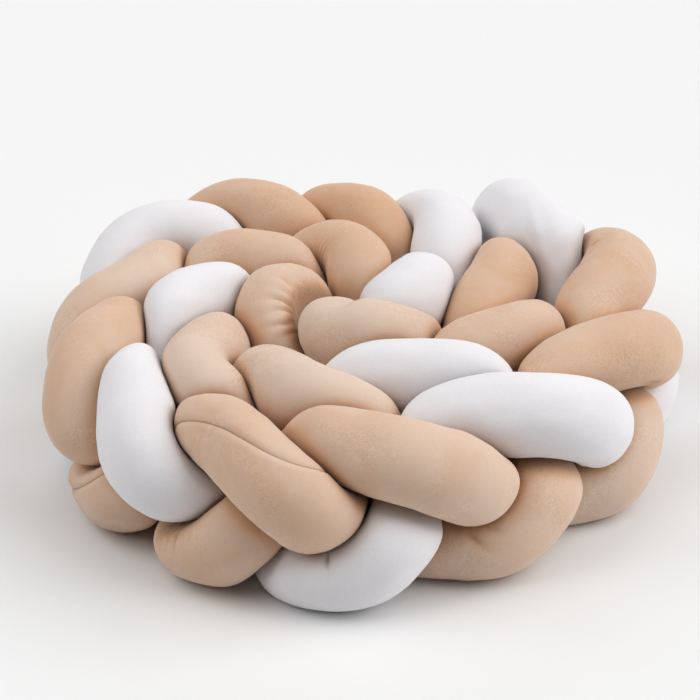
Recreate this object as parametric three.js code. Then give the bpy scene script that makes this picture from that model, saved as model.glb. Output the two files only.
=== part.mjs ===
// Braided crib bumper, put down as a coil.
// Three stuffed cloth tubes, one white and two beige, are plaited. The flat plait stands on its edge and
// is rolled inwards like a snail shell, clockwise seen from above.
// Millimetres, Z up, the floor at z = 0 and the origin under the middle of the coil.

import * as THREE from "three";

// The tube
const TUBE_RADIUS = 37.5; // of the round, unsquashed tube
const TUBE_SPACING = 53; // nearest that two tubes' middles come where they press on each other
const MOST_SWELL = 1.3; // a squashed tube grows at most this much to its free sides
const END_LENGTH = 34; // length of the rounded, gathered end

// The plait
const MIDDLE_HEIGHT = 84; // of the plait's middle above the floor
const RISE = 50; // how far a tube climbs above and drops below that middle
const SWING = 30; // how far a tube swings to either side of the plait's middle
const PERIOD = 6; // steps of the plait after which a tube is on top again

// Room that the tubes leave each other and the floor
const GAP = 1.95; // half the space between two tubes
const PRESS = 2; // how far a tube would sink under the floor if it weren't pressed flat
const LOWEST_MIDDLE = 34;
const HIGHEST_MIDDLE = 140;
const LEAST_REACH = 2; // a tube never gets thinner than this on any side
const CENTRING = new THREE.Vector3(-0.5, -19.1, 0); // moves the coil over the origin

// Steps of the shape
const SIDES = 12;
const RING_STEP = 21; // between two rings
const END_RINGS = 3; // on each rounded end

// The coil, from the free outer end to the middle. Each row is a crest, the place where one tube lies on
// top: x and y on the floor, lift of the tube at the crest, lean as a share of the full side swing, foot
// and slant as the shift of the tube's low part outwards and along the plait, fat as a share of the girth.
const CREST_COLUMNS = ["x", "y", "lift", "lean", "foot", "slant", "fat"];
const CRESTS = [
  [180, 208, 12, -0.1, 0, 0, 1.12],
  [251, 84, 0, 1, 0, 0, 1],
  [219, -56, 0, 1, 6, 0, 0.95],
  [128, -155, 0, 1, 8, 0, 1],
  [1, -220, 0, 1, 4, 0, 1],
  [-108, -212, -6, 1, -26, 22, 0.95],
  [-193, -120, -18, 1, -30, 34, 1],
  [-246, -52, -18, 0.7, -22, 24, 0.94],
  [-231, 36, -18, 0.8, -16, 8, 0.97],
  [-210, 202, 2, 1, 0, 0, 1],
  [-112, 225, 0, 1, 0, 0, 1],
  [-3, 212, 2, 1, 0, 0, 1],
  [76, 198, 0, 1, 0, 0, 1],
  [125, 68, 0, 1, 0, 0, 0.92],
  [130, -34, 0, 0.6, 0, 0, 0.9],
  [54, -98, 0, 1, 0, 0, 1],
  [-77, -159, 0, 1, -24, 0, 1],
  [-197, -98, -8, 0.2, -28, 0, 0.86],
  [-190, 35, -8, 0.9, -18, 0, 1],
  [-130, 114, -4, 1, 0, 0, 1],
  [-13, 114, 0, 1, 0, 0, 1],
  [50, 48, 0, 0.9, 0, 0, 1],
  [0, -44, 0, 0.3, 0, 0, 1],
  [-112, 70, 32, 0.9, 0, 0, 1],
  [-16, 104, 0, 0.6, 0, 0, 1],
];

// Two steps of the plait lead from one crest to the next. Top is the step at which a tube has its first
// crest, start and end are the steps at which it begins and stops.
const STRANDS = [
  { name: "strand_white", top: 1, start: -0.7, end: 46.6, colour: 0xe9e6e8 },
  { name: "strand_beige_c", top: 3, start: 0.3, end: 46.1, colour: 0xd9b99f },
  { name: "strand_beige_b", top: 5, start: 0.8, end: 48.6, colour: 0xd9b99f },
];
const STEPS_PER_CREST = 2;
const NODE_STEP = 0.25; // steps of the plait between two nodes of a tube's middle line

// Pulling the plait tight
const ROUNDS = 80;
const PUSH = 0.22; // share of an overlap that one round takes away
const MOST_PUSH = 6;
const OWN_NEIGHBOURS = 5; // nodes of the same tube that don't push each other
const STRETCH_SHARE = 0.25;
const SMOOTH_SHARE = 0.5;
const TIGHTEST_BEND = 45;
const UNBEND_SHARE = 0.4;
const HOLD_SHARE = 0.03; // pull of each node back to its place
const END_SHARES = { next: 0.3, tip: 0.5 }; // how much of a kink at an end one round takes away

// Squeezing the tubes against each other
const PROBE_STEP = 8; // between the points that stand for a tube
const PROBE_REACH = 130;
const OWN_PROBE_SHARE = 0.9; // probes of the same tube nearer than this share of a step don't count
const OPEN_REACH = 1000; // where nothing is in the way
const SOFTNESS = 8; // power of the rounded minimum, higher is sharper
const FIRMNESS = 500; // square mm, how much firmer a tube is on top of the plait than halfway up
const GIRTH_ROUNDS = 6;
const GIRTH_SHARE = 0.8;
const CURVE_STEPS = 10; // short steps of the middle line from node to node
const TANGENT_REACH = 4;
const HEADING_REACH = 0.002; // in steps of the plait

const UP = new THREE.Vector3(0, 0, 1);

// A smooth curve through the rows of a table, which goes on straight past its ends.
function rowAt(table, t) {
  const last = table.length - 1;
  const i = THREE.MathUtils.clamp(Math.floor(t), 0, last - 1);
  const f = t - i;
  const cell = (n, column) => {
    if (n < 0) return 2 * table[0][column] - table[1][column];
    if (n > last) return 2 * table[last][column] - table[last - 1][column];
    return table[n][column];
  };
  const startShare = 2 * f ** 3 - 3 * f ** 2 + 1;
  const startSlope = f ** 3 - 2 * f ** 2 + f;
  const endShare = 3 * f ** 2 - 2 * f ** 3;
  const endSlope = f ** 3 - f ** 2;
  return table[0].map((_, column) => {
    const [a, b, c, d] = [-1, 0, 1, 2].map((n) => cell(i + n, column));
    return startShare * b + (startSlope * (c - a)) / 2 + endShare * c + (endSlope * (d - b)) / 2;
  });
}

function crestAt(step) {
  const row = rowAt(CRESTS, (step - 1) / STEPS_PER_CREST);
  return Object.fromEntries(CREST_COLUMNS.map((name, i) => [name, row[i]]));
}

// The plait's direction on the floor at a step.
function headingAt(step) {
  const before = crestAt(step - HEADING_REACH);
  const after = crestAt(step + HEADING_REACH);
  return new THREE.Vector2(after.x - before.x, after.y - before.y).normalize();
}

// The plain plait's middle line of one tube.
function plaitLine({ top, start, end }) {
  const count = Math.round((end - start) / NODE_STEP) + 1;
  return Array.from({ length: count }, (_, i) => {
    const step = start + i * NODE_STEP;
    const crest = crestAt(step);
    const heading = headingAt(step);
    const turn = (2 * Math.PI * (top - step)) / PERIOD;
    const high = (1 + Math.cos(turn)) / 2;
    const outwards = SWING * crest.lean * Math.sin(2 * turn) + crest.foot * (1 - high);
    const along = crest.slant * (1 - high);
    return new THREE.Vector3(
      crest.x - heading.y * outwards + heading.x * along,
      crest.y + heading.x * outwards + heading.y * along,
      MIDDLE_HEIGHT + RISE * Math.cos(turn) + crest.lift * high,
    );
  });
}

// Moves nodes of different tubes, or of far parts of one tube, apart where they are too close.
function pushApart(lines) {
  const nodes = lines.flatMap((line, tube) => line.map((point, index) => ({ point, tube, index })));
  const moves = nodes.map((one) => {
    const move = new THREE.Vector3();
    const away = new THREE.Vector3();
    for (const other of nodes) {
      if (one.tube === other.tube && Math.abs(one.index - other.index) < OWN_NEIGHBOURS) continue;
      const distance = away.subVectors(one.point, other.point).length();
      if (distance > 0 && distance < TUBE_SPACING) {
        move.addScaledVector(away, (PUSH * (TUBE_SPACING - distance)) / distance);
      }
    }
    return move.clampLength(0, MOST_PUSH);
  });
  nodes.forEach((node, i) => node.point.add(moves[i]));
}

// Keeps a line's nodes evenly spaced.
function evenOut(line, spacing) {
  const shifts = line.slice(1).map((point, i) => {
    const edge = new THREE.Vector3().subVectors(point, line[i]);
    const length = edge.length();
    return edge.multiplyScalar(((length - spacing) / length) * STRETCH_SHARE);
  });
  shifts.forEach((shift, i) => {
    line[i].add(shift);
    line[i + 1].sub(shift);
  });
}

// Smooths a line without shrinking its bends.
function smooth(line) {
  const before = line.map((point) => point.clone());
  for (let i = 2; i < line.length - 2; i += 1) {
    const fair = new THREE.Vector3()
      .addScaledVector(before[i - 2], -1 / 6)
      .addScaledVector(before[i - 1], 4 / 6)
      .addScaledVector(before[i + 1], 4 / 6)
      .addScaledVector(before[i + 2], -1 / 6);
    line[i].lerp(fair, SMOOTH_SHARE);
  }
}

// Opens bends that are tighter than a stuffed tube takes.
function unbend(line) {
  const before = line.map((point) => point.clone());
  for (let i = 2; i < line.length - 2; i += 1) {
    const chord = before[i - 2].distanceTo(before[i + 2]) / 2;
    const allowed = chord ** 2 / (2 * TIGHTEST_BEND);
    const sag = new THREE.Vector3().addVectors(before[i - 2], before[i + 2]).multiplyScalar(0.5);
    sag.sub(before[i]);
    const excess = Math.max(sag.length() - allowed, 0);
    line[i].add(sag.setLength(excess * UNBEND_SHARE));
  }
}

// Straightens the last nodes of one end.
function straightenEnd(tip, next, third) {
  const between = new THREE.Vector3().addVectors(tip, third).multiplyScalar(0.5);
  next.lerp(between, END_SHARES.next);
  const straightOn = next.clone().multiplyScalar(2).sub(third);
  tip.lerp(straightOn, END_SHARES.tip);
}

// Pulls the plait tight: the tubes push each other aside and stay long, smooth and near their places.
function tighten(lines) {
  const homes = lines.map((line) => line.map((point) => point.clone()));
  const spacings = lines.map((line) => {
    const lengths = line.slice(1).map((point, i) => point.distanceTo(line[i]));
    return lengths.reduce((sum, length) => sum + length, 0) / lengths.length;
  });
  for (let round = 0; round < ROUNDS; round += 1) {
    pushApart(lines);
    lines.forEach((line, tube) => {
      evenOut(line, spacings[tube]);
      smooth(line);
      unbend(line);
      straightenEnd(line[0], line[1], line[2]);
      straightenEnd(line.at(-1), line.at(-2), line.at(-3));
      line.forEach((point, i) => {
        point.lerp(homes[tube][i], HOLD_SHARE);
        point.z = THREE.MathUtils.clamp(point.z, LOWEST_MIDDLE, HIGHEST_MIDDLE);
      });
    });
  }
}

// A tube's middle line with its length up to each point and the plait's step there.
function measure(line, start) {
  const cells = line.map((point) => point.toArray());
  const count = (line.length - 1) * CURVE_STEPS + 1;
  const track = { points: [], lengths: [], steps: [] };
  let length = 0;
  for (let i = 0; i < count; i += 1) {
    const point = new THREE.Vector3(...rowAt(cells, i / CURVE_STEPS));
    if (i > 0) length += point.distanceTo(track.points[i - 1]);
    track.points.push(point);
    track.lengths.push(length);
    track.steps.push(start + (i / CURVE_STEPS) * NODE_STEP);
  }
  track.total = length;
  return track;
}

// Where a tube's middle is after a given length.
function placeAt(track, length) {
  const wanted = THREE.MathUtils.clamp(length, 0, track.total);
  const i = Math.max(track.lengths.findIndex((value) => value >= wanted), 1);
  const share = (wanted - track.lengths[i - 1]) / (track.lengths[i] - track.lengths[i - 1]);
  return {
    point: new THREE.Vector3().lerpVectors(track.points[i - 1], track.points[i], share),
    step: THREE.MathUtils.lerp(track.steps[i - 1], track.steps[i], share),
  };
}

// A tube that lies on top stays rounder than the one that it squashes below.
function firmnessAt(point) {
  return FIRMNESS * THREE.MathUtils.clamp((point.z - MIDDLE_HEIGHT) / RISE, -1, 1);
}

// Points along every tube, which stand for it when its neighbours are squashed against it.
function probesOf(tracks) {
  return tracks.flatMap((track, tube) => {
    const count = Math.round(track.total / PROBE_STEP);
    return Array.from({ length: count + 1 }, (_, i) => {
      const length = (track.total * i) / count;
      const { point } = placeAt(track, length);
      return { point, tube, length, firmness: firmnessAt(point) };
    });
  });
}

// Lengths at which a tube has a ring: close together on its rounded ends, even between them.
function ringLengths(total) {
  const tip = (i) => END_LENGTH * (1 - Math.cos((Math.PI / 2) * (i / END_RINGS)));
  const tips = Array.from({ length: END_RINGS }, (_, i) => tip(i + 1));
  const body = total - 2 * END_LENGTH;
  const count = Math.round(body / RING_STEP);
  const inner = Array.from({ length: count - 1 }, (_, i) => END_LENGTH + (body * (i + 1)) / count);
  return [...tips, ...inner, ...tips.map((length) => total - length).reverse()];
}

const roundedMin = (a, b) => (a ** -SOFTNESS + b ** -SOFTNESS) ** (-1 / SOFTNESS);

// How far a tube can grow from a middle point in one direction before it meets a neighbour or the floor.
function room(middle, direction, near) {
  let reach = OPEN_REACH;
  for (const { offset, lead } of near) {
    const ahead = direction.dot(offset);
    if (ahead > 0) reach = Math.min(reach, (offset.lengthSq() + lead) / (2 * ahead));
  }
  if (direction.z < 0) reach = Math.min(reach, (middle.z + PRESS) / -direction.z + GAP);
  return Math.max(reach - GAP, LEAST_REACH);
}

// One closed cross-section: round where the tube is free, flat where it presses on something, and swollen
// to its free sides so that the cloth around it keeps its girth.
function ring(track, tube, length, probes) {
  const { point: middle, step } = placeAt(track, length);
  const ahead = placeAt(track, length + TANGENT_REACH).point;
  const forward = ahead.sub(placeAt(track, length - TANGENT_REACH).point).normalize();
  const upward = UP.clone().addScaledVector(forward, -forward.z).normalize();
  const sideways = new THREE.Vector3().crossVectors(forward, upward);
  const firmness = firmnessAt(middle);
  const tooNear = OWN_PROBE_SHARE * PROBE_STEP;
  const near = probes
    .filter((probe) => probe.tube !== tube || Math.abs(probe.length - length) > tooNear)
    .map((probe) => ({
      offset: new THREE.Vector3().subVectors(probe.point, middle),
      lead: probe.tube === tube ? 0 : firmness - probe.firmness,
    }))
    .filter(({ offset }) => offset.length() < PROBE_REACH);
  const directions = Array.from({ length: SIDES }, (_, i) => {
    const angle = (2 * Math.PI * i) / SIDES;
    return new THREE.Vector3()
      .addScaledVector(upward, Math.cos(angle))
      .addScaledVector(sideways, Math.sin(angle));
  });
  const limits = directions.map((direction) => room(middle, direction, near));
  const plain = TUBE_RADIUS * crestAt(step).fat;
  let swollen = plain;
  const outline = () => directions.map((direction, i) => {
    return direction.clone().multiplyScalar(roundedMin(swollen, limits[i]));
  });
  for (let round = 0; round < GIRTH_ROUNDS; round += 1) {
    const points = outline();
    const girth = points.reduce((sum, point, i) => sum + point.distanceTo(points.at(i - 1)), 0);
    swollen *= ((2 * Math.PI * plain) / girth) ** GIRTH_SHARE;
    swollen = THREE.MathUtils.clamp(swollen, plain, plain * MOST_SWELL);
  }
  const fromTip = Math.min(length, track.total - length);
  const closing = fromTip < END_LENGTH ? Math.sqrt(1 - (1 - fromTip / END_LENGTH) ** 2) : 1;
  return outline().map((offset) => {
    const point = offset.multiplyScalar(closing).add(middle);
    point.z = Math.max(point.z, 0);
    return point;
  });
}

// One closed skin over all rings of a tube, with a point at each tip.
function skin(rings, firstTip, lastTip) {
  const points = [...rings.flat(), firstTip, lastTip];
  const first = points.length - 2;
  const last = points.length - 1;
  const at = (row, side) => row * SIDES + (side % SIDES);
  const faces = [];
  for (let side = 0; side < SIDES; side += 1) {
    faces.push([first, at(0, side + 1), at(0, side)]);
    faces.push([last, at(rings.length - 1, side), at(rings.length - 1, side + 1)]);
    for (let row = 0; row + 1 < rings.length; row += 1) {
      const [a, b] = [at(row, side), at(row, side + 1)];
      const [d, c] = [at(row + 1, side), at(row + 1, side + 1)];
      const shorter = points[a].distanceTo(points[c]) <= points[b].distanceTo(points[d]);
      faces.push(...(shorter ? [[a, b, c], [a, c, d]] : [[a, b, d], [b, c, d]]));
    }
  }
  const geometry = new THREE.BufferGeometry();
  geometry.setAttribute("position", new THREE.Float32BufferAttribute(points.flatMap((p) => p.toArray()), 3));
  geometry.setIndex(faces.flat());
  geometry.computeVertexNormals();
  return geometry;
}

function buildStrand(strand, tube, tracks, probes) {
  const track = tracks[tube];
  const rings = ringLengths(track.total).map((length) => ring(track, tube, length, probes));
  const geometry = skin(rings, placeAt(track, 0).point, placeAt(track, track.total).point);
  const material = new THREE.MeshStandardMaterial({ color: strand.colour, roughness: 0.9, metalness: 0 });
  const mesh = new THREE.Mesh(geometry, material);
  mesh.name = strand.name;
  mesh.position.copy(CENTRING);
  return mesh;
}

const lines = STRANDS.map(plaitLine);
tighten(lines);
const tracks = lines.map((line, tube) => measure(line, STRANDS[tube].start));
const probes = probesOf(tracks);

const bumper = new THREE.Group();
STRANDS.forEach((strand, tube) => bumper.add(buildStrand(strand, tube, tracks, probes)));

export default bumper;
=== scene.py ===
"""Braided crib bumper, rolled up on the floor: three stuffed velvet tubes, plaited on edge and coiled.

The tubes follow the same plait as the frame's solids, in the same sizes, with the cloth's own skin:
flat where the tubes press on each other, swollen between, with seams, creases and gathered ends.

Sizes are in millimetres and angles in degrees. A place on a tube's skin is a step of the plait, which has
a crest at every second step, and an angle from the tube's top towards the inside of the coil.
"""
import math

import bpy
import numpy as np
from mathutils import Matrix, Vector

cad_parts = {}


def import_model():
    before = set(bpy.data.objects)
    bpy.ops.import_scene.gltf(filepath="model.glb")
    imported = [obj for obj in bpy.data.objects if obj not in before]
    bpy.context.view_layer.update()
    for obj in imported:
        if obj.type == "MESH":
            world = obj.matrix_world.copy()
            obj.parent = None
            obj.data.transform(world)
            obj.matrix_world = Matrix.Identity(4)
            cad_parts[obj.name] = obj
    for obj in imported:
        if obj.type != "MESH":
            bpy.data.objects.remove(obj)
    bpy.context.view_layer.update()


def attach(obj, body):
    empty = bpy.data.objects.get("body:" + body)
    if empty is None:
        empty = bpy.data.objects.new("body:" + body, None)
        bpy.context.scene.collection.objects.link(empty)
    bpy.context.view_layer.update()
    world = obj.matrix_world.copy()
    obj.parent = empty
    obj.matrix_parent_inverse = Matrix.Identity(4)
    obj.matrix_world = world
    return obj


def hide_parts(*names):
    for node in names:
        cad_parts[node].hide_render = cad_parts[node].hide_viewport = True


PI = math.pi
MM = 0.001
TINY = 1e-9

# The plait's sizes, as in the frame's solids
TUBE_RADIUS = 37.5
TUBE_SPACING = 53.0
MOST_SWELL = 1.3
END_LENGTH = 34.0
MIDDLE_HEIGHT = 84.0
RISE = 50.0
SWING = 30.0
PERIOD = 6.0
PRESS = 2.0
LOWEST_MIDDLE = 34.0
HIGHEST_MIDDLE = 140.0
CENTRING = np.array([-0.5, -19.1, 0.0])

# The skin is finer than the solids and closer to its neighbours; a rough one is enough to simulate
GAP = 0.4
END_RINGS = 9
FINE = {"sides": 88, "ring_step": 4.3, "close": True}
ROUGH = {"sides": 44, "ring_step": 6.0, "close": False}

# How much closer the rings are at creases and folds, and how far to each side
CLOSE_RINGS = {"share": 1.7, "reach": 20.0}

# The coil, from the free outer end to the middle: a row for each crest, where one tube lies on top, and one
# for the inner end. Each gives a place, an extra height, a share of the swing to the side, how far the
# tube below is pushed outwards and along, and the girth as a share of the plain tube's.
CREST_COLUMNS = ("x", "y", "lift", "lean", "foot", "slant", "fat")
CRESTS = np.array([
    [180, 208, 12, -0.1, 0, 0, 1.12],
    [251, 84, 0, 1, 0, 0, 1],
    [219, -56, 0, 1, 6, 0, 0.95],
    [128, -155, 0, 1, 8, 0, 1],
    [1, -220, 0, 1, 4, 0, 1],
    [-108, -212, -6, 1, -26, 22, 0.95],
    [-193, -120, -18, 1, -30, 34, 1],
    [-246, -52, -18, 0.7, -22, 24, 0.94],
    [-231, 36, -18, 0.8, -16, 8, 0.97],
    [-210, 202, 2, 1, 0, 0, 1],
    [-112, 225, 0, 1, 0, 0, 1],
    [-3, 212, 2, 1, 0, 0, 1],
    [76, 198, 0, 1, 0, 0, 1],
    [125, 68, 0, 1, 0, 0, 0.92],
    [130, -34, 0, 0.6, 0, 0, 0.9],
    [54, -98, 0, 1, 0, 0, 1],
    [-77, -159, 0, 1, -24, 0, 1],
    [-197, -98, -8, 0.2, -28, 0, 0.86],
    [-190, 35, -8, 0.9, -18, 0, 1],
    [-130, 114, -4, 1, 0, 0, 1],
    [-13, 114, 0, 1, 0, 0, 1],
    [50, 48, 0, 0.9, 0, 0, 1],
    [0, -44, 0, 0.3, 0, 0, 1],
    [-112, 70, 32, 0.9, 0, 0, 1],
    [-16, 104, 0, 0.6, 0, 0, 1],
])

# top is the step of the plait at a tube's first crest, start and end are where it begins and stops
STRANDS = {
    "strand_white": {"top": 1, "start": -0.7, "end": 46.6, "slot": "white_velvet"},
    "strand_beige_c": {"top": 3, "start": 0.3, "end": 46.1, "slot": "beige_velvet"},
    "strand_beige_b": {"top": 5, "start": 0.8, "end": 48.6, "slot": "beige_velvet"},
}

# Where the lengthwise seam runs: steps and angles, blended over a reach of some steps
SEAMS = {
    "strand_white": [(-0.7, 190), (22, 180), (25, 260), (27, 260), (30, 180), (46.6, 180)],
    "strand_beige_c": [(0.3, -180), (17, -180), (20, -105), (23, -100), (26, -180), (46.1, -180)],
    "strand_beige_b": [
        (0.8, 180), (5, 180), (6, 150), (7, 110), (8, 80), (9, 40), (9.8, 0), (10.2, -12), (10.6, -15),
        (11, -30), (11.4, -45), (11.7, -58), (12.1, -50), (12.5, -14), (13.7, -127),
        (15, -165), (16.5, -180), (48.6, -180),
    ],
}
SEAM_BLEND = {"reach": 0.3, "samples": 13}

# How far the skin's columns crowd towards the seam, the groove of the seam, and the shoulders beside it
COLUMN_CROWDING = 0.55
GROOVE = {"depth": 1.0, "width": 1.2}
SHOULDER = {"height": 0.5, "place": 4.5, "width": 3.5}

# The stitches drift a little from an even pitch, and pull harder in some stretches than in others
STITCHES = {"pitch": 9.0, "depth": 0.3, "reach": 5.0}
STITCH_DRIFT = {"length": 3.0, "wave": 37.0}
STITCH_PULL = {"mean": 0.6, "swing": 0.4, "wave": 23.0}

# Rows of sharp creases: how far they reach along and around the tube; slope turns them on the skin
CREASE_COLUMNS = ("tube", "step", "angle", "along", "around", "pitch", "depth", "slope")
CREASES = [
    ("strand_beige_b", 46.5, 24, 34, 18, 9.5, 5.0, 0.0),
    ("strand_beige_b", 46.22, -6, 15, 15, 9.5, 4.0, 0.0),
    ("strand_beige_c", 11.33, -69, 15, 10, 6.5, 6.5, 0.0),
    ("strand_beige_b", 34.15, 10, 14, 14, 5.0, 1.3, 0.2),
    ("strand_beige_b", 40.85, 52, 14, 12, 7.0, 1.6, 0.0),
    ("strand_beige_c", 2.6, 36, 9, 9, 5.0, 0.8, 0.0),
]

# The creases wander, the cloth between them stands proud by a share of their depth, and some are deeper
CREASE_WANDER = {"length": 1.5, "around": 9.0, "along": 13.0}
CREASE_RIDGE = 0.4
CREASE_VARIETY = {"share": 0.25, "pitches": 2.5}

# Single folds and dents, or bulges if the depth is negative; turn is from the tube's length
FOLD_COLUMNS = ("tube", "step", "angle", "long", "wide", "depth", "turn")
FOLDS = [
    ("strand_white", 1.5, 27, 34, 4.5, -1.4, 17),
    ("strand_white", 1.5, 17, 30, 5.0, 1.2, 17),
    ("strand_white", 1.5, 38, 30, 5.0, 1.2, 17),
    ("strand_white", 9.47, -54, 9, 2.5, 3.4, 80),
    ("strand_beige_b", 4.5, -125, 18, 4.0, 2.4, 20),
    ("strand_beige_b", 5.0, -20, 16, 4.0, 0.5, 40),
    ("strand_beige_c", 2.6, 36, 3.0, 3.0, 3.0, 0),
    ("strand_beige_b", 7.71, -60, 12, 3.2, 2.2, 49),
    ("strand_beige_b", 7.54, -52, 9, 3.0, 1.8, 25),
]

# Broad swellings and hollows of the stuffing, in the same columns, and passes that soften them
LUMPS = [
    ("strand_white", 1.45, -38, 38, 30, -5.0, 0),
    ("strand_white", 13.25, -40, 28, 30, -6.0, 0),
    ("strand_white", 9.9, -105, 28, 28, -7.0, 0),
    ("strand_white", 11.95, -122, 24, 24, 3.5, 0),
    ("strand_white", 15.0, -112, 28, 30, 6.5, 0),
    ("strand_white", 42.97, 32, 24, 28, -6.0, 0),
    ("strand_white", 42.5, -5, 24, 28, 5.0, 0),
    ("strand_beige_c", 11.42, -104, 22, 26, -8.0, 0),
    ("strand_beige_c", 14.12, -110, 24, 26, -6.0, 0),
    ("strand_beige_c", 15.3, -35, 35, 28, -5.0, 0),
    ("strand_beige_c", 26.5, 22, 22, 24, -4.0, 0),
    ("strand_beige_b", 13.25, -92, 20, 32, 6.5, 0),
    ("strand_beige_c", 45.6, 10, 20, 26, 7.0, 0),
    ("strand_beige_c", 45.26, 8, 16, 26, -6.5, 0),
    ("strand_beige_c", 44.9, 8, 26, 26, -3.0, 0),
]
LUMP_SOFTENING = 4

# A fold narrower than this and deeper than the least depth gets painted shade in its valley, fully at the
# full depth
SHARP_FOLD = {"width": 10.0, "full_depth": 4.0, "least": 1.5}

# Waves of the stuffing: wavelength, height and how many cross each other, each a little longer or shorter
WAVES = [(75.0, 0.55, 7), (26.0, 0.16, 9)]
WAVE_GAIN = 1.4
WAVE_STRETCH = (0.75, 1.35)

# The gathers of the free outer end; their depth is a share of the radius, and the tips are dimples
PLEATS = {"count": 14, "depth": 0.16, "sharpness": 0.7, "reach": 17.0}
DIMPLE = 5.0

# The cloth simulation of the filled skin. The cloth is given a share of its length where a bend squeezes
# it, and loses a share at the seam. Only a part of the broad moves is kept.
FILLING = {"pressure": 4.0, "frames": 20, "most_move": 3.0, "broad_share": 0.25, "broad_passes": 32}
CLOTH = {"quality": 4, "mass": 0.3, "stretch": 15, "shear": 5, "bending": 0.05}
SPARE_CLOTH = {"share": 0.15, "from_squeeze": 0.35, "over": 0.5}
SEAM_PULL = {"share": 0.03, "width": 0.1}

# Painted sheen and shade on the pile: a tone along each tube, paler at 0 and deeper at 1, set at its crests
# so that some lobes look lit and others shaded: steps and tones
SHEEN_AND_SHADE_TONES = {
    "strand_white": [(-0.7, 0.3), (46.6, 0.3)],
    "strand_beige_c": [
        (3, 0.6), (6, 0), (9, 0.45), (12, 0.45), (15, 0.55), (18, 0.5), (21, 0.7), (24, 0.8),
        (27, 0.75), (30, 0.4), (33, 0), (36, 0.2), (39, 0.55), (42, 0.6), (45, 0.1),
    ],
    "strand_beige_b": [
        (5, 0.6), (8, 0.3), (11, 0.55), (14, 0.35), (17, 0.1), (20, 0.6), (23, 1), (26, 0.8),
        (29, 0.45), (32, 0.3), (35, 0), (38, 0.4), (41, 0.75), (44, 0.5), (47, 0.3),
    ],
}

# Painted shade where the tubes press on each other: a deeper tone near the contact, and right beside it a
# darkening like a valley's
CONTACT_SHADE = {"reach": 9.0, "tone": 0.5, "valley_reach": 5.0, "valley": 0.6}

# The two velvets: the pile's pale and deep colours, mixed by random brushing and by painted sheen and
# shade, its bloom at the rim and its marks' strength
VELVETS = {
    "white_velvet": {
        "pale": (0.80, 0.785, 0.81),
        "deep": (0.775, 0.755, 0.77),
        "bloom": 0.2,
        "bloom_tint": (1, 1, 1),
        "flecks": 0.012,
    },
    "beige_velvet": {
        "pale": (0.70, 0.545, 0.44),
        "deep": (0.64, 0.395, 0.25),
        "bloom": 0.35,
        "bloom_tint": (1, 0.95, 0.92),
        "flecks": 0.08,
    },
}
PILE = {"roughness": 0.95, "specular": 0.1, "bloom_roughness": 0.35}

# The pile's relief: its depth is in metres, and its marks stand out more than its fibres
PILE_RELIEF = {"strength": 0.3, "depth": 0.0005, "marks": 6.0}

# The pile's noises: cells in a metre, detail and distortion
NOISE_ROUGHNESS = 0.6
NOISES = {
    "patches": (9, 2, 0.6),
    "worn": (13, 2, 0.8),
    "strokes": (330, 2, 2.0),
    "fibres": (1100, 3, 0.0),
    "brushed": (14, 3, 1.0),
}

# How noises, the way from the seam and the valleys' painted shade darken or lighten the pile: two values,
# and what each becomes
RANGES = {
    "patches": (0.35, 0.65, 0.985, 1.01),
    "worn": (0.44, 0.62, 0.1, 1.0),
    "strokes": (0.4, 0.64, 1.0, -1.0),
    "fibres": (0.3, 0.7, 0.965, 1.035),
    "brushed": (0.3, 0.7, -0.18, 0.18),
    "seam": (0.3, 1.3, 0.62, 1.0),
    "valley": (0.1, 0.9, 1.0, 0.7),
}

# Soft boxes: where they stand and how strong they are
SOFT_BOXES = [
    ("top", (0, 0, 1), 0.25),
    ("right", (0.7, 0, 0.7), 0.5),
    ("left", (-0.7, 0, 0.7), 0.45),
    ("low_right", (0.95, 0, 0.3), 0.33),
    ("behind", (0, 0.95, 0.3), 0.18),
]
SOFT_BOX_ANGLE = 50

# The room's light at the horizon and from a little above it: the two heights, and its strength there
ROOM = (0.0, 0.12, 0.5, 0.04)

# The floor, in metres
FLOOR = {"half_side": 30.0, "colour": (0.82, 0.82, 0.82), "roughness": 0.9}

# The camera: how far away and at what elevation it stands, a mark inside the coil, where the photograph
# shows that mark, in pixels, the photograph's scale there and its side; then how far it sees, in metres
CAMERA_DISTANCE = 1900.0
CAMERA_ELEVATION = 32
CAMERA_MARK = np.array([-8.1, -63.0, 88.0])
MARK_PIXEL = (360, 395)
PIXELS_IN_A_MM = 1.024
PHOTO_SIDE = 700
SENSOR = 36
VIEW_END = 50

# Steps of the plait from crest to crest and from node to node, and how far from a node its heading is taken
STEPS_PER_CREST = 2
NODE_STEP = 0.25
HEADING_REACH = 0.002

# Pulling the plait tight
ROUNDS = 80
PUSH = 0.22
MOST_PUSH = 6.0
OWN_NEIGHBOURS = 5
STRETCH_SHARE = 0.25
SMOOTH_SHARE = 0.5
TIGHTEST_BEND = 45.0
UNBEND_SHARE = 0.4
HOLD_SHARE = 0.03
END_SHARES = {"next": 0.3, "tip": 0.5}
FAIRING_ROUNDS = 10

# Middle lines between the nodes
CURVE_STEPS = 10
TANGENT_REACH = 4.0
BEND_REACH = 6.0

# Squeezing the tubes against each other
PROBE_STEP = 8.0
PROBE_REACH = 130.0
OWN_PROBE_SHARE = 0.9
OPEN_REACH = 1000.0
LEAST_REACH = 2.0
SOFTNESS = 8.0
FIRMNESS = 500.0
GIRTH_ROUNDS = 6
GIRTH_SHARE = 0.8
GIRTH_SMOOTHING = 3
SKIN_SMOOTHING = 5


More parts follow.
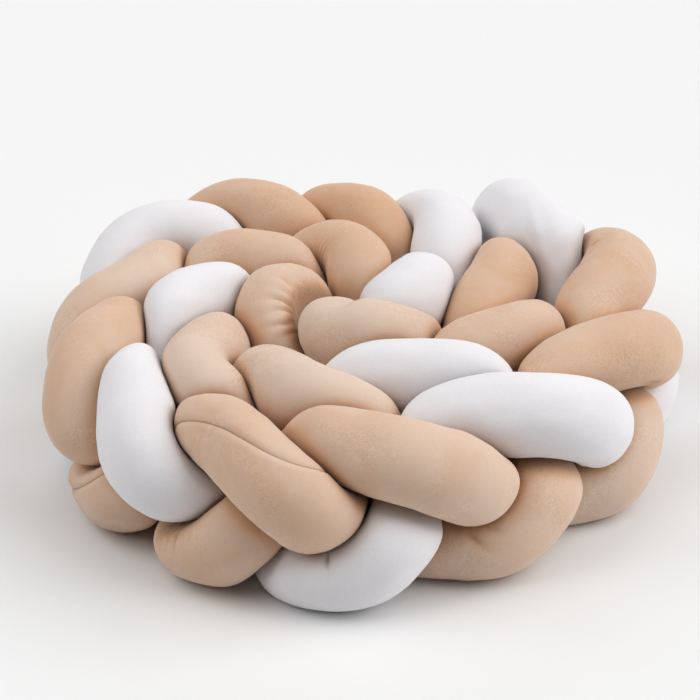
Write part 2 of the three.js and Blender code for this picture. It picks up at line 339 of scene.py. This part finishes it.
def row_at(table, t):
    """A smooth curve through the rows of a table, which goes on straight past its ends."""
    ends = np.vstack([2 * table[0] - table[1], table, 2 * table[-1] - table[-2]])
    t = np.asarray(t, float)
    i = np.clip(np.floor(t).astype(int), 0, len(table) - 2)
    f = (t - i)[:, None]
    a, b, c, d = ends[i], ends[i + 1], ends[i + 2], ends[i + 3]
    return (
        (2 * f**3 - 3 * f**2 + 1) * b
        + (f**3 - 2 * f**2 + f) * (c - a) / 2
        + (3 * f**2 - 2 * f**3) * c
        + (f**3 - f**2) * (d - b) / 2
    )


def crest_at(step):
    row = row_at(CRESTS, (np.asarray(step) - 1) / STEPS_PER_CREST)
    return {name: row[:, i] for i, name in enumerate(CREST_COLUMNS)}


def plait_line(top, start, end):
    """The plain plait's middle line of one tube."""
    count = int(round((end - start) / NODE_STEP)) + 1
    step = start + np.arange(count) * NODE_STEP
    crest, before, after = (crest_at(step + d) for d in (0, -HEADING_REACH, HEADING_REACH))
    heading = np.column_stack([after[c] - before[c] for c in "xy"])
    heading /= np.linalg.norm(heading, axis=1)[:, None]
    turn = 2 * PI * (top - step) / PERIOD
    high = (1 + np.cos(turn)) / 2
    outwards = SWING * crest["lean"] * np.sin(2 * turn) + crest["foot"] * (1 - high)
    along = crest["slant"] * (1 - high)
    return np.column_stack([
        crest["x"] - heading[:, 1] * outwards + heading[:, 0] * along,
        crest["y"] + heading[:, 0] * outwards + heading[:, 1] * along,
        MIDDLE_HEIGHT + RISE * np.cos(turn) + crest["lift"] * high,
    ])


def push_apart(lines):
    """Moves nodes of different tubes, or of far parts of one tube, apart where they are too close."""
    points = np.vstack(lines)
    tube = np.repeat(np.arange(len(lines)), [len(line) for line in lines])
    index = np.concatenate([np.arange(len(line)) for line in lines])
    own = (tube[:, None] == tube) & (abs(index[:, None] - index) < OWN_NEIGHBOURS)
    away = points[:, None] - points
    distance = np.linalg.norm(away, axis=2)
    close = (distance < TUBE_SPACING) & ~own
    share = np.where(close, PUSH * (TUBE_SPACING - distance) / np.maximum(distance, TINY), 0)
    move = np.einsum("ij,ijk->ik", share, away)
    length = np.linalg.norm(move, axis=1)
    points += move * (np.minimum(length, MOST_PUSH) / np.maximum(length, TINY))[:, None]
    return np.split(points, np.cumsum([len(line) for line in lines])[:-1])


def even_out(line, spacing):
    """Brings neighbouring nodes nearer to an even spacing."""
    edge = np.diff(line, axis=0)
    length = np.linalg.norm(edge, axis=1)
    shift = edge * ((length - spacing) / length * STRETCH_SHARE)[:, None]
    line[:-1] += shift
    line[1:] -= shift


def smooth(line):
    """Brings each node nearer to a smooth curve through the two on each side of it."""
    fair = (-line[:-4] + 4 * line[1:-3] + 4 * line[3:-1] - line[4:]) / 6
    line[2:-2] += SMOOTH_SHARE * (fair - line[2:-2])


def unbend(line):
    """Opens bends that are tighter than a stuffed tube allows."""
    chord = np.linalg.norm(line[4:] - line[:-4], axis=1) / 2
    sag = (line[4:] + line[:-4]) / 2 - line[2:-2]
    length = np.linalg.norm(sag, axis=1)
    excess = np.maximum(length - chord**2 / (2 * TIGHTEST_BEND), 0)
    line[2:-2] += sag * (UNBEND_SHARE * excess / np.maximum(length, TINY))[:, None]


def straighten_end(line, tip, beside, third):
    line[beside] += END_SHARES["next"] * ((line[tip] + line[third]) / 2 - line[beside])
    line[tip] += END_SHARES["tip"] * (2 * line[beside] - line[third] - line[tip])


def tighten(lines):
    """Pulls the plait tight: the tubes push each other aside and stay smooth and near their places."""
    homes = [line.copy() for line in lines]
    spacings = [np.linalg.norm(np.diff(line, axis=0), axis=1).mean() for line in lines]
    for _ in range(ROUNDS):
        lines = push_apart(lines)
        for line, home, spacing in zip(lines, homes, spacings):
            even_out(line, spacing)
            smooth(line)
            unbend(line)
            straighten_end(line, 0, 1, 2)
            straighten_end(line, -1, -2, -3)
            line += HOLD_SHARE * (home - line)
            line[:, 2] = np.clip(line[:, 2], LOWEST_MIDDLE, HIGHEST_MIDDLE)
    for line in lines:
        for _ in range(FAIRING_ROUNDS):
            smooth(line)
    return lines


class Track:
    """A tube's middle line, with the length up to each point and the plait's step there."""

    def __init__(self, line, start):
        t = np.arange((len(line) - 1) * CURVE_STEPS + 1) / CURVE_STEPS
        self.points = row_at(line, t)
        gaps = np.linalg.norm(np.diff(self.points, axis=0), axis=1)
        self.lengths = np.concatenate([[0], np.cumsum(gaps)])
        self.steps = start + t * NODE_STEP
        self.total = self.lengths[-1]

    def at(self, length):
        wanted = np.clip(length, 0, self.total)
        return np.column_stack([np.interp(wanted, self.lengths, axis) for axis in self.points.T])

    def step_at(self, length):
        return np.interp(length, self.lengths, self.steps)

    def length_at(self, step):
        return np.interp(step, self.steps, self.lengths)

    def forward(self, length):
        ahead = self.at(length + TANGENT_REACH) - self.at(length - TANGENT_REACH)
        return ahead / np.linalg.norm(ahead, axis=1)[:, None]


def firmness_at(points):
    """A tube that lies on top stays rounder than the one that it squashes below."""
    return FIRMNESS * np.clip((points[..., 2] - MIDDLE_HEIGHT) / RISE, -1, 1)


class Probes:
    """Points along every tube, which stand for it when its neighbours are squashed against it."""

    def __init__(self, tracks):
        counts = [int(round(track.total / PROBE_STEP)) for track in tracks]
        lengths = [np.linspace(0, track.total, n + 1) for track, n in zip(tracks, counts)]
        self.points = np.vstack([track.at(length) for track, length in zip(tracks, lengths)])
        self.lengths = np.concatenate(lengths)
        self.tube = np.repeat(np.arange(len(tracks)), [n + 1 for n in counts])

    def near(self, tube, length, middle):
        """From a middle point to each probe that can be in its way, and its lead in firmness over it."""
        offset = self.points - middle
        own = self.tube == tube
        beside = own & (abs(self.lengths - length) <= OWN_PROBE_SHARE * PROBE_STEP)
        use = ~beside & (np.einsum("ij,ij->i", offset, offset) < PROBE_REACH**2)
        lead = np.where(own, 0, firmness_at(middle) - firmness_at(self.points))
        return offset[use], lead[use]


def rows_of(tube, columns, table):
    """A table's rows for one tube, with the names of their columns."""
    return [dict(zip(columns, row)) for row in table if row[0] == tube]


def detail_lengths(tube, track):
    """How far along the tube its creases and folds are."""
    details = rows_of(tube, CREASE_COLUMNS, CREASES) + rows_of(tube, FOLD_COLUMNS, FOLDS)
    return [track.length_at(detail["step"]) for detail in details]


def ring_lengths(total, ring_step, details):
    """Close together on the rounded ends and at the details, even between them."""
    tips = END_LENGTH * (1 - np.cos(PI / 2 * np.arange(1, END_RINGS + 1) / END_RINGS))
    length = np.arange(END_LENGTH, total - END_LENGTH)
    crowding = np.zeros(len(length))
    for detail in details:
        crowding += CLOSE_RINGS["share"] * np.exp(-(((length - detail) / CLOSE_RINGS["reach"]) ** 2))
    density = 1 + crowding
    filled = np.concatenate([[0], np.cumsum((density[1:] + density[:-1]) / 2)])
    wanted = np.linspace(0, filled[-1], int(round(filled[-1] / ring_step)) + 1)
    body = np.interp(wanted, filled, length)
    return np.concatenate([tips, body[1:-1], (total - tips)[::-1]])


def rounded_min(a, b):
    return (a**-SOFTNESS + b**-SOFTNESS) ** (-1 / SOFTNESS)


def room(middle, directions, offsets, lead):
    """How far a tube can grow in each direction before it meets a neighbour or the floor."""
    ahead = directions @ offsets.T
    reach = (np.einsum("ij,ij->i", offsets, offsets) + lead) / (2 * np.maximum(ahead, TINY))
    reach = np.where(ahead > 0, reach, OPEN_REACH).min(axis=1)
    down = -directions[:, 2]
    floor = np.where(down > 0, (middle[2] + PRESS) / np.maximum(down, TINY) + GAP, OPEN_REACH)
    return np.maximum(np.minimum(reach, floor) - GAP, LEAST_REACH)


def blur(values, across=False):
    """One pass of smoothing along a tube, and around it too if asked."""
    if across:
        values = (np.roll(values, 1, axis=1) + 2 * values + np.roll(values, -1, axis=1)) / 4
    padded = np.concatenate([values[:1], values, values[-1:]])
    return (padded[:-2] + 2 * padded[1:-1] + padded[2:]) / 4


def skin_faces(rings, sides):
    """Quads between the rings, and triangles from the first and the last ring to a point in each tip."""
    row, side = np.meshgrid(np.arange(rings - 1), np.arange(sides), indexing="ij")
    corner = (row * sides + side).ravel()
    beside = (row * sides + (side + 1) % sides).ravel()
    quads = np.column_stack([corner, beside, beside + sides, corner + sides])
    around = np.arange(sides)
    after = (around + 1) % sides
    last_ring = (rings - 1) * sides
    first_tip = rings * sides
    last_tip = first_tip + 1
    first_cap = np.column_stack([np.full(sides, first_tip), after, around])
    last_cap = np.column_stack([np.full(sides, last_tip), last_ring + around, last_ring + after])
    return quads.tolist() + first_cap.tolist() + last_cap.tolist()


def new_object(name, data):
    piece = bpy.data.objects.new(name, data)
    bpy.context.scene.collection.objects.link(piece)
    return piece


class Tube:
    """The skin of one stuffed tube as rings of points, with columns that follow its seam."""

    def __init__(self, name, track, number, probes, grid):
        self.name = name
        self.track = track
        self.sides = grid["sides"]
        details = detail_lengths(name, track) if grid["close"] else []
        self.lengths = ring_lengths(track.total, grid["ring_step"], details)
        self.steps = track.step_at(self.lengths)
        self.middles = track.at(self.lengths)
        turn = 2 * PI * np.arange(self.sides) / self.sides
        from_seam = turn - COLUMN_CROWDING * np.sin(turn)
        self.beside_seam = np.minimum(from_seam, 2 * PI - from_seam)
        self.angles = self.seam_angles()[:, None] + from_seam
        forward = track.forward(self.lengths)
        upward = np.array([0, 0, 1]) - forward * forward[:, 2:]
        upward /= np.linalg.norm(upward, axis=1)[:, None]
        sideways = np.cross(forward, upward)
        self.directions = (
            upward[:, None] * np.cos(self.angles)[..., None]
            + sideways[:, None] * np.sin(self.angles)[..., None]
        )
        self.limits = np.array([
            room(middle, directions, *probes.near(number, length, middle))
            for middle, directions, length in zip(self.middles, self.directions, self.lengths)
        ])
        self.plain = TUBE_RADIUS * crest_at(self.steps)["fat"]
        self.radii = self.swell()
        # Painted shade of the creases and sharp folds, kept for the colour
        self.valleys = np.zeros(self.radii.shape)

    def seam_angles(self):
        steps, degrees = zip(*SEAMS[self.name])
        near = np.linspace(-SEAM_BLEND["reach"], SEAM_BLEND["reach"], SEAM_BLEND["samples"])
        return np.radians(np.interp(self.steps[:, None] + near, steps, degrees).mean(axis=1))

    def swell(self):
        """Swells each ring to its free sides until the cloth around it has its girth."""
        swollen = self.plain.copy()
        for _ in range(GIRTH_ROUNDS):
            radii = rounded_min(swollen[:, None], self.limits)
            points = radii[..., None] * self.directions
            girth = np.linalg.norm(np.roll(points, -1, axis=1) - points, axis=2).sum(axis=1)
            swollen *= (2 * PI * self.plain / girth) ** GIRTH_SHARE
            swollen = np.clip(swollen, self.plain, self.plain * MOST_SWELL)
            for _ in range(GIRTH_SMOOTHING):
                swollen = blur(swollen)
        radii = rounded_min(swollen[:, None], self.limits)
        for _ in range(SKIN_SMOOTHING):
            radii = np.minimum(blur(radii, across=True), self.limits)
        return radii

    def squeeze(self):
        """How much shorter the cloth's way is here than along the middle line, on the inside of bends."""
        length = np.clip(self.lengths, 2 * BEND_REACH, self.track.total - 2 * BEND_REACH)
        turned = self.track.forward(length + BEND_REACH) - self.track.forward(length - BEND_REACH)
        bend = turned / (2 * BEND_REACH)
        return np.einsum("ik,ijk->ij", bend, self.directions) * self.radii

    def move(self, outwards):
        """Moves the skin in or out, but never into its neighbours or the floor."""
        self.radii = np.minimum(self.radii + outwards, self.limits)

    def soften(self, passes):
        for _ in range(passes):
            self.move(blur(self.radii, across=True) - self.radii)

    def place_of(self, step, angle):
        """Each skin point's way from a place on the skin: along the tube and around it."""
        along = self.lengths[:, None] - self.track.length_at(step)
        around = (self.angles - math.radians(angle) + PI) % (2 * PI) - PI
        return along, around * self.plain[:, None]

    def seam_way(self):
        """Each skin point's way from the seam, around the tube."""
        return self.beside_seam * self.plain[:, None]

    def skin(self):
        return self.middles[:, None] + self.radii[..., None] * self.directions

    def closed(self):
        """The radii with both ends rounded off and the free outer one gathered in pleats."""
        from_tip = np.minimum(self.lengths, self.track.total - self.lengths)
        closing = np.sqrt(1 - np.clip(1 - from_tip / END_LENGTH, 0, 1) ** 2)
        near = np.exp(-((self.lengths / PLEATS["reach"]) ** 2))[:, None]
        valley = 1 - abs(np.sin(PLEATS["count"] * self.angles / 2)) ** PLEATS["sharpness"]
        return self.radii * closing[:, None] * (1 - PLEATS["depth"] * near * valley)

    def mesh(self):
        """The closed skin, with a point in each tip's dimple, in metres and over the floor."""
        body = self.middles[:, None] + self.closed()[..., None] * self.directions
        tips = self.track.at(np.array([DIMPLE, self.track.total - DIMPLE]))
        points = np.vstack([body.reshape(-1, 3), tips]) + CENTRING
        points[:, 2] = np.maximum(points[:, 2], 0)
        mesh = bpy.data.meshes.new(self.name)
        mesh.from_pydata((points * MM).tolist(), [], skin_faces(*self.radii.shape))
        mesh.polygons.foreach_set("use_smooth", np.ones(len(mesh.polygons), bool))
        return new_object(self.name + "_cloth", mesh)


def shrink_weights(tube):
    """0 where the cloth is given all of its spare length, 1 where the seam takes the most from it."""
    tightness = np.clip((tube.squeeze() - SPARE_CLOTH["from_squeeze"]) / SPARE_CLOTH["over"], 0, 1)
    spare = SPARE_CLOTH["share"] * tightness
    pull = SEAM_PULL["share"] * np.exp(-((tube.beside_seam / SEAM_PULL["width"]) ** 2))
    return (SPARE_CLOTH["share"] - spare + pull) / (SPARE_CLOTH["share"] + SEAM_PULL["share"])


def make_cloth(piece, weights):
    """Turns a closed skin into cloth that its filling presses outwards."""
    group = piece.vertex_groups.new(name="shrink")
    for index, weight in enumerate(weights.ravel().tolist()):
        group.add([index], weight, "REPLACE")
    cloth = piece.modifiers.new("filling", "CLOTH")
    settings = cloth.settings
    settings.quality = CLOTH["quality"]
    settings.mass = CLOTH["mass"]
    settings.tension_stiffness = CLOTH["stretch"]
    settings.compression_stiffness = CLOTH["stretch"]
    settings.shear_stiffness = CLOTH["shear"]
    settings.bending_stiffness = CLOTH["bending"]
    settings.use_pressure = True
    settings.uniform_pressure_force = FILLING["pressure"]
    settings.effector_weights.gravity = 0
    settings.vertex_group_shrink = group.name
    settings.shrink_min = -SPARE_CLOTH["share"]
    settings.shrink_max = SEAM_PULL["share"]
    cloth.collision_settings.use_collision = False
    cloth.point_cache.frame_start = 1
    cloth.point_cache.frame_end = FILLING["frames"]


def vertices_of(piece):
    points = np.empty(3 * len(piece.data.vertices))
    piece.data.vertices.foreach_get("co", points)
    return points.reshape(-1, 3)


def simulated(tube):
    """How far a cloth simulation of the filled skin moves each of its points outwards."""
    piece = tube.mesh()
    make_cloth(piece, shrink_weights(tube))
    for frame in range(1, FILLING["frames"] + 1):
        bpy.context.scene.frame_set(frame)
    filled = piece.evaluated_get(bpy.context.evaluated_depsgraph_get())
    way = (vertices_of(filled) - vertices_of(piece)) / MM
    mesh = piece.data
    bpy.data.objects.remove(piece)
    bpy.data.meshes.remove(mesh)
    bpy.context.scene.frame_set(1)
    skin_way = way[: tube.radii.size].reshape(tube.directions.shape)
    outwards = np.einsum("ijk,ijk->ij", skin_way, tube.directions)
    broad = outwards
    for _ in range(FILLING["broad_passes"]):
        broad = blur(broad, across=True)
    outwards = outwards - (1 - FILLING["broad_share"]) * broad
    return FILLING["most_move"] * np.tanh(outwards / FILLING["most_move"])


def refined(values, rough, fine):
    """A rough tube's values on the rings and columns of its fine one."""
    column = np.arange(fine.sides) * rough.sides / fine.sides
    looped = np.column_stack([values, values[:, 0]])
    across = np.array([np.interp(column, np.arange(rough.sides + 1), ring) for ring in looped])
    along = np.column_stack([np.interp(fine.lengths, rough.lengths, line) for line in across.T])
    return blur(blur(along, across=True), across=True)


def sew(tube):
    """Sinks the seam between two soft shoulders and puckers the cloth at its stitches."""
    way = tube.seam_way()
    groove = GROOVE["depth"] * np.exp(-((way / GROOVE["width"]) ** 2))
    shoulder = SHOULDER["height"] * np.exp(-(((way - SHOULDER["place"]) / SHOULDER["width"]) ** 2))
    length = tube.lengths + STITCH_DRIFT["length"] * np.sin(tube.lengths / STITCH_DRIFT["wave"])
    pull = STITCH_PULL["mean"] + STITCH_PULL["swing"] * np.sin(tube.lengths / STITCH_PULL["wave"])
    stitches = STITCHES["depth"] * pull * np.cos(2 * PI * length / STITCHES["pitch"])
    tube.move(shoulder - groove + stitches[:, None] * np.exp(-((way / STITCHES["reach"]) ** 2)))


def crease(tube):
    """Rows of sharp valleys where the cloth is pinched."""
    for row in rows_of(tube.name, CREASE_COLUMNS, CREASES):
        along, around = tube.place_of(row["step"], row["angle"])
        share = np.exp(-((along / row["along"]) ** 2) - (around / row["around"]) ** 2)
        wander = np.sin(around / CREASE_WANDER["around"] + along / CREASE_WANDER["along"])
        across = along + row["slope"] * around + CREASE_WANDER["length"] * wander
        place = across / row["pitch"]
        deeper = np.sin(2 * PI * place / CREASE_VARIETY["pitches"])
        variety = 1 + CREASE_VARIETY["share"] * (deeper - 1)
        valley = variety * (1 - abs(np.sin(PI * place)))
        tube.move(row["depth"] * share * (CREASE_RIDGE - valley))
        # Painted shade in the crease's valleys
        tube.valleys = np.maximum(tube.valleys, share * valley)


def fold(tube, table):
    """Single folds, dents and bulges."""
    for row in rows_of(tube.name, FOLD_COLUMNS, table):
        along, around = tube.place_of(row["step"], row["angle"])
        turn = math.radians(row["turn"])
        lengthwise = along * math.cos(turn) + around * math.sin(turn)
        crosswise = around * math.cos(turn) - along * math.sin(turn)
        share = np.exp(-((lengthwise / row["long"]) ** 2) - (crosswise / row["wide"]) ** 2)
        tube.move(-row["depth"] * share)
        # Painted shade in a sharp fold's valley
        if row["wide"] < SHARP_FOLD["width"] and row["depth"] > SHARP_FOLD["least"]:
            tube.valleys = np.maximum(tube.valleys, share * row["depth"] / SHARP_FOLD["full_depth"])


def stuff(tube, seed):
    """The uneven filling, as low waves that cross each other."""
    random = np.random.default_rng(seed)
    skin = tube.skin()
    height = np.zeros(tube.radii.shape)
    for wavelength, depth, count in WAVES:
        for _ in range(count):
            heading = random.normal(size=3)
            wave = wavelength * random.uniform(*WAVE_STRETCH)
            heading *= 2 * PI / (wave * np.linalg.norm(heading))
            phase = random.uniform(0, 2 * PI)
            height += WAVE_GAIN * depth / math.sqrt(count) * np.sin(skin @ heading + phase)
    tube.move(height)


def mark(piece, tube):
    """Keeps the way from the seam, the pile's tones with their painted sheen and shade, and the painted
    shade in the valleys and at the contacts on the mesh, for its colour.
    """
    # The tone: painted sheen and shade along the tube, plus painted shade near the contacts
    steps, tones = zip(*SHEEN_AND_SHADE_TONES[tube.name])
    # Painted shade near the contacts, where the skin has little room left: a deeper tone and a valley's
    # darkening
    room_left = tube.limits - tube.radii
    contact_shade = CONTACT_SHADE["tone"] * np.exp(-((room_left / CONTACT_SHADE["reach"]) ** 2))
    contact_valley_shade = CONTACT_SHADE["valley"] * np.exp(-((room_left / CONTACT_SHADE["valley_reach"]) ** 2))
    marks = {
        "seam": tube.seam_way(),
        "tone": np.interp(tube.steps, steps, tones)[:, None] + contact_shade,
        "valley": np.maximum(tube.valleys, contact_valley_shade),
    }
    for name, values in marks.items():
        values = values.ravel()
        attribute = piece.data.attributes.new(name, "FLOAT", "POINT")
        attribute.data.foreach_set("value", np.append(values, values[[0, -1]]))


class Graph:
    """The shader nodes of a material or a world; each method adds nodes and gives their output."""

    def __init__(self, tree):
        self.nodes = tree.nodes
        self.links = tree.links

    def coordinate(self, kind):
        return self.nodes.new("ShaderNodeTexCoord").outputs[kind]

    def attribute(self, name):
        node = self.nodes.new("ShaderNodeAttribute")
        node.attribute_name = name
        return node.outputs["Fac"]

    def noise(self, place, scale, detail, distortion):
        node = self.nodes.new("ShaderNodeTexNoise")
        node.inputs["Scale"].default_value = scale
        node.inputs["Detail"].default_value = detail
        node.inputs["Roughness"].default_value = NOISE_ROUGHNESS
        node.inputs["Distortion"].default_value = distortion
        self.links.new(place, node.inputs["Vector"])
        return node.outputs["Fac"]

    def ranged(self, value, low, high, to_low, to_high):
        node = self.nodes.new("ShaderNodeMapRange")
        node.interpolation_type = "SMOOTHSTEP"
        self.links.new(value, node.inputs["Value"])
        ends = {"From Min": low, "From Max": high, "To Min": to_low, "To Max": to_high}
        for socket, number in ends.items():
            node.inputs[socket].default_value = number
        return node.outputs["Result"]

    def maths(self, operation, first, *others):
        """Takes each other value to the first in turn; a value is an output or a number."""
        for other in others:
            node = self.nodes.new("ShaderNodeMath")
            node.operation = operation
            for socket, value in zip(node.inputs, (first, other)):
                if isinstance(value, (int, float)):
                    socket.default_value = value
                else:
                    self.links.new(value, socket)
            first = node.outputs[0]
        return first

    def mixed(self, factor, pale, deep):
        node = self.nodes.new("ShaderNodeMix")
        node.data_type = "RGBA"
        node.inputs["A"].default_value = (*pale, 1)
        node.inputs["B"].default_value = (*deep, 1)
        self.links.new(factor, node.inputs["Factor"])
        return node.outputs["Result"]

    def scaled(self, colour, factor):
        node = self.nodes.new("ShaderNodeVectorMath")
        node.operation = "SCALE"
        self.links.new(colour, node.inputs[0])
        self.links.new(factor, node.inputs["Scale"])
        return node.outputs["Vector"]

    def bump(self, height, strength, depth):
        node = self.nodes.new("ShaderNodeBump")
        node.inputs["Strength"].default_value = strength
        node.inputs["Distance"].default_value = depth
        self.links.new(height, node.inputs["Height"])
        return node.outputs["Normal"]


def velvet(name, look):
    """Short soft pile: fine fibres, small marks where the nap lies another way, a pale bloom at the rim,
    and painted sheen and shade from the mesh's attributes.
    """
    material = bpy.data.materials.new(name)
    material.use_nodes = True
    graph = Graph(material.node_tree)
    place = graph.coordinate("Object")
    values = {key: graph.noise(place, *numbers) for key, numbers in NOISES.items()}
    values.update({key: graph.attribute(key) for key in ("seam", "tone", "valley")})
    ranged = {key: graph.ranged(values[key], *numbers) for key, numbers in RANGES.items()}
    flecks = graph.maths("MULTIPLY", ranged["strokes"], ranged["worn"], look["flecks"])
    marks = graph.maths("ADD", 1.0, flecks)
    # Random patches and fibres, the seam's line and the painted shade in valleys and at contacts scale the
    # colour
    shades = (ranged[key] for key in ("patches", "fibres", "seam", "valley"))
    shade = graph.maths("MULTIPLY", marks, *shades)
    # Towards the deep colour: random brushing, the painted sheen and shade of the tone, and the painted
    # shade of the valleys
    brushed = graph.maths("ADD", values["tone"], ranged["brushed"], values["valley"])
    colour = graph.scaled(graph.mixed(brushed, look["pale"], look["deep"]), shade)
    height = graph.maths("ADD", values["fibres"], graph.maths("MULTIPLY", marks, PILE_RELIEF["marks"]))
    normal = graph.bump(height, PILE_RELIEF["strength"], PILE_RELIEF["depth"])
    shader = graph.nodes["Principled BSDF"]
    shader.inputs["Roughness"].default_value = PILE["roughness"]
    shader.inputs["Specular IOR Level"].default_value = PILE["specular"]
    shader.inputs["Sheen Weight"].default_value = look["bloom"]
    shader.inputs["Sheen Roughness"].default_value = PILE["bloom_roughness"]
    shader.inputs["Sheen Tint"].default_value = (*look["bloom_tint"], 1)
    graph.links.new(colour, shader.inputs["Base Color"])
    graph.links.new(normal, shader.inputs["Normal"])
    return material


def make_floor():
    material = bpy.data.materials.new("pale_floor")
    material.use_nodes = True
    shader = material.node_tree.nodes["Principled BSDF"]
    shader.inputs["Base Color"].default_value = (*FLOOR["colour"], 1)
    shader.inputs["Roughness"].default_value = FLOOR["roughness"]
    mesh = bpy.data.meshes.new("floor")
    half = FLOOR["half_side"]
    corners = [(x * half, y * half, 0) for x, y in ((-1, -1), (1, -1), (1, 1), (-1, 1))]
    mesh.from_pydata(corners, [], [(0, 1, 2, 3)])
    mesh.materials.append(material)
    floor = new_object("floor", mesh)


def make_lights():
    """Five soft boxes over a dim room whose walls are paler near the floor."""
    world = bpy.data.worlds.new("studio")
    world.use_nodes = True
    graph = Graph(world.node_tree)
    direction = graph.nodes.new("ShaderNodeSeparateXYZ")
    graph.links.new(graph.coordinate("Generated"), direction.inputs[0])
    background = graph.nodes["Background"]
    background.inputs["Color"].default_value = (1, 1, 1, 1)
    graph.links.new(graph.ranged(direction.outputs["Z"], *ROOM), background.inputs["Strength"])
    bpy.context.scene.world = world
    for name, towards, share in SOFT_BOXES:
        light = bpy.data.lights.new(name, "SUN")
        light.energy = PI * share
        light.angle = math.radians(SOFT_BOX_ANGLE)
        lamp = new_object(name, light)
        lamp.rotation_euler = (-Vector(towards)).to_track_quat("-Z", "Y").to_euler()


def make_camera():
    """Looks down at the coil as the photograph does, with the coil a little below the middle."""
    elevation = math.radians(CAMERA_ELEVATION)
    focal = PIXELS_IN_A_MM * CAMERA_DISTANCE
    back = Vector((0, -math.cos(elevation), math.sin(elevation)))
    upward = Vector((0, math.sin(elevation), math.cos(elevation)))
    right = Vector((1, 0, 0))
    middle = PHOTO_SIDE / 2
    turn_right = right * (middle - MARK_PIXEL[0]) / focal
    turn_up = upward * (MARK_PIXEL[1] - middle) / focal
    camera = new_object("camera", bpy.data.cameras.new("camera"))
    camera.location = Vector(CAMERA_MARK * MM) + CAMERA_DISTANCE * MM * back
    camera.rotation_euler = (-back + turn_right + turn_up).to_track_quat("-Z", "Y").to_euler()
    camera.data.sensor_width = SENSOR
    camera.data.lens = SENSOR * focal / PHOTO_SIDE
    camera.data.clip_end = VIEW_END
    bpy.context.scene.camera = camera


def filled_tube(name, track, number, probes):
    """One tube's skin with everything that its filling, its creases and its seam do to it."""
    tube = Tube(name, track, number, probes, FINE)
    rough = Tube(name, track, number, probes, ROUGH)
    tube.move(refined(simulated(rough), rough, tube))
    fold(tube, LUMPS)
    tube.soften(LUMP_SOFTENING)
    stuff(tube, number)
    crease(tube)
    fold(tube, FOLDS)
    sew(tube)
    return tube


def make_braid():
    finishes = {name: velvet(name, look) for name, look in VELVETS.items()}
    lines = tighten([plait_line(s["top"], s["start"], s["end"]) for s in STRANDS.values()])
    tracks = [Track(line, s["start"]) for line, s in zip(lines, STRANDS.values())]
    probes = Probes(tracks)
    for number, (name, strand) in enumerate(STRANDS.items()):
        tube = filled_tube(name, tracks[number], number, probes)
        piece = tube.mesh()
        piece.data.materials.append(finishes[strand["slot"]])
        mark(piece, tube)
        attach(piece, "root")
        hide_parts(name)


def main():
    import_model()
    bpy.context.scene.view_settings.view_transform = "Standard"
    make_camera()
    make_lights()
    make_floor()
    make_braid()


main()
